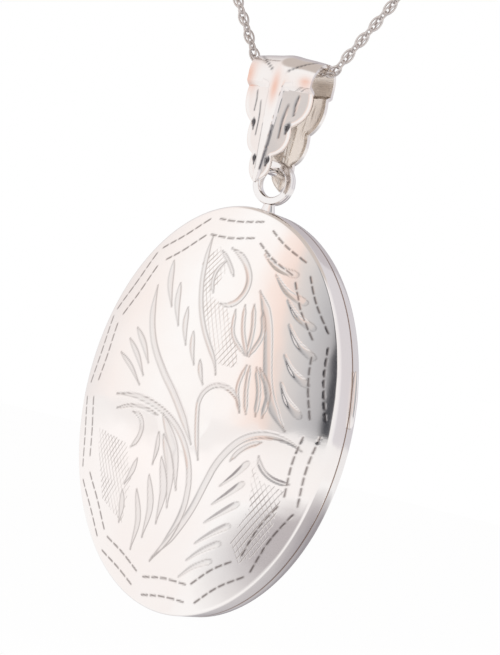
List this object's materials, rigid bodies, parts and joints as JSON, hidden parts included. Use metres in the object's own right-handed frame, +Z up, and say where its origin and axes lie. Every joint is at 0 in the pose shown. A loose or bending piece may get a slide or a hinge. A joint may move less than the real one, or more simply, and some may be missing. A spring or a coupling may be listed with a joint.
{
  "type": "locket",
  "caption": "Oval engraved silver locket that hinges open on two framed photo windows, hanging by a folded leaf-shaped bail from a fine chain.",
  "frame": {"origin": "midway between the two ends of the chain, where the chain is held", "axes": "+X to the viewer's right when the engraved front is seen, -Y out of the engraved front, +Z up"},
  "size_m": [0.0361, 0.0118, 0.0822],
  "materials": {
    "engraved_silver": "hand-engraved and polished sterling silver",
    "polished_silver": "mirror-polished sterling silver",
    "leaf_silver": "pressed and engraved sterling silver",
    "inside_silver": "pickled and lightly buffed sterling silver",
    "chain_silver": "tumbled sterling silver wire",
    "spring_steel": "drawn spring wire",
    "clear_acetate": "clear acetate sheet",
    "ivory_card": "matt ivory card"
  },
  "bodies": {
    "chain": {"chain": "chain_silver", "tag_jump_ring": "chain_silver", "chain_tag": "chain_silver", "clasp_jump_ring": "chain_silver", "clasp_body": "chain_silver", "clasp_spring": "spring_steel"},
    "clasp_trigger": {"clasp_trigger": "chain_silver"},
    "bail": {"bail": "leaf_silver", "bail_pin": "polished_silver"},
    "back_half": {"back_cover": "polished_silver", "snap_bezel": "inside_silver", "back_photo_frame": "inside_silver", "back_window": "clear_acetate", "back_photo_card": "ivory_card", "back_knuckle_upper": "polished_silver", "back_knuckle_lower": "polished_silver", "hinge_pin": "polished_silver", "nail_lip": "polished_silver", "top_ring": "polished_silver"},
    "front_half": {"front_cover": "engraved_silver", "front_bezel": "inside_silver", "front_photo_frame": "inside_silver", "front_window": "clear_acetate", "front_photo_card": "ivory_card", "front_knuckle": "polished_silver"}
  },
  "joints": [
    {"name": "bail_swing", "type": "hinge", "parent": "chain", "child": "bail", "pos_m": [0, 0, -0.0155], "axis": [1, 0, 0], "range_deg": [-80, 80]},
    {"name": "locket_swing", "type": "hinge", "parent": "bail", "child": "back_half", "pos_m": [0, 0.00125, -0.02705], "axis": [0, 1, 0], "range_deg": [-45, 45]},
    {"name": "cover_open", "type": "hinge", "parent": "back_half", "child": "front_half", "pos_m": [-0.0164, 0.0006, -0.0539], "axis": [0, 0, -1], "range_deg": [0, 170]},
    {"name": "trigger_slide", "type": "hinge", "parent": "chain", "child": "clasp_trigger", "pos_m": [0.0162, 0, 0.00238], "axis": [0, 1, 0], "range_deg": [0, 45], "stiffness_Nm_per_rad": 0.0004, "springref_deg": -17.19, "deforming": ["clasp_spring"]}
  ]
}
